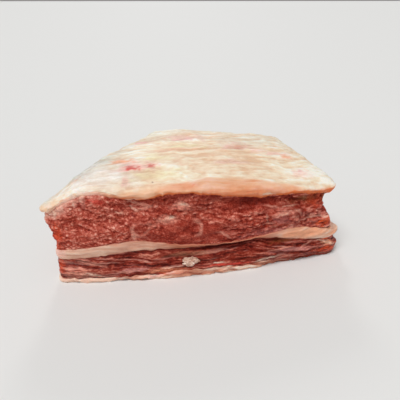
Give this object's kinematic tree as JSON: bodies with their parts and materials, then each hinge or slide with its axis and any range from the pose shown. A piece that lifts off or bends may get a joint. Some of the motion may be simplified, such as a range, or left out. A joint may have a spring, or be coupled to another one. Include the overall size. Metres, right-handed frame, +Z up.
{
  "type": "raw beef belly block",
  "caption": "Cut block of raw beef belly lying fat side up: a thick fat cap over coarse lean, a fat seam, a thin lean layer and a ragged fat base.",
  "frame": {"origin": "middle of the block's bounding box, on the surface that the block lies on", "axes": "+X along the long front cut, from its thin left tip to its right end; +Y from the front cut to the back; +Z up"},
  "size_m": [0.2308, 0.1314, 0.0834],
  "materials": {
    "fat_cap": "moist, creamy white raw fat with faint streaks",
    "upper_lean": "wet, coarse grained raw lean",
    "fat_seam": "moist, pinkish cream raw fat",
    "lower_lean": "wet, dark raw lean with long streaks",
    "base_fat": "moist, ragged peach raw fat",
    "fat_scrap": "moist, pale raw fat"
  },
  "bodies": {
    "root": {"fat_cap": "fat_cap", "upper_lean": "upper_lean", "fat_seam": "fat_seam", "lower_lean": "lower_lean", "base_fat": "base_fat", "fat_scrap": "fat_scrap"}
  },
  "joints": []
}
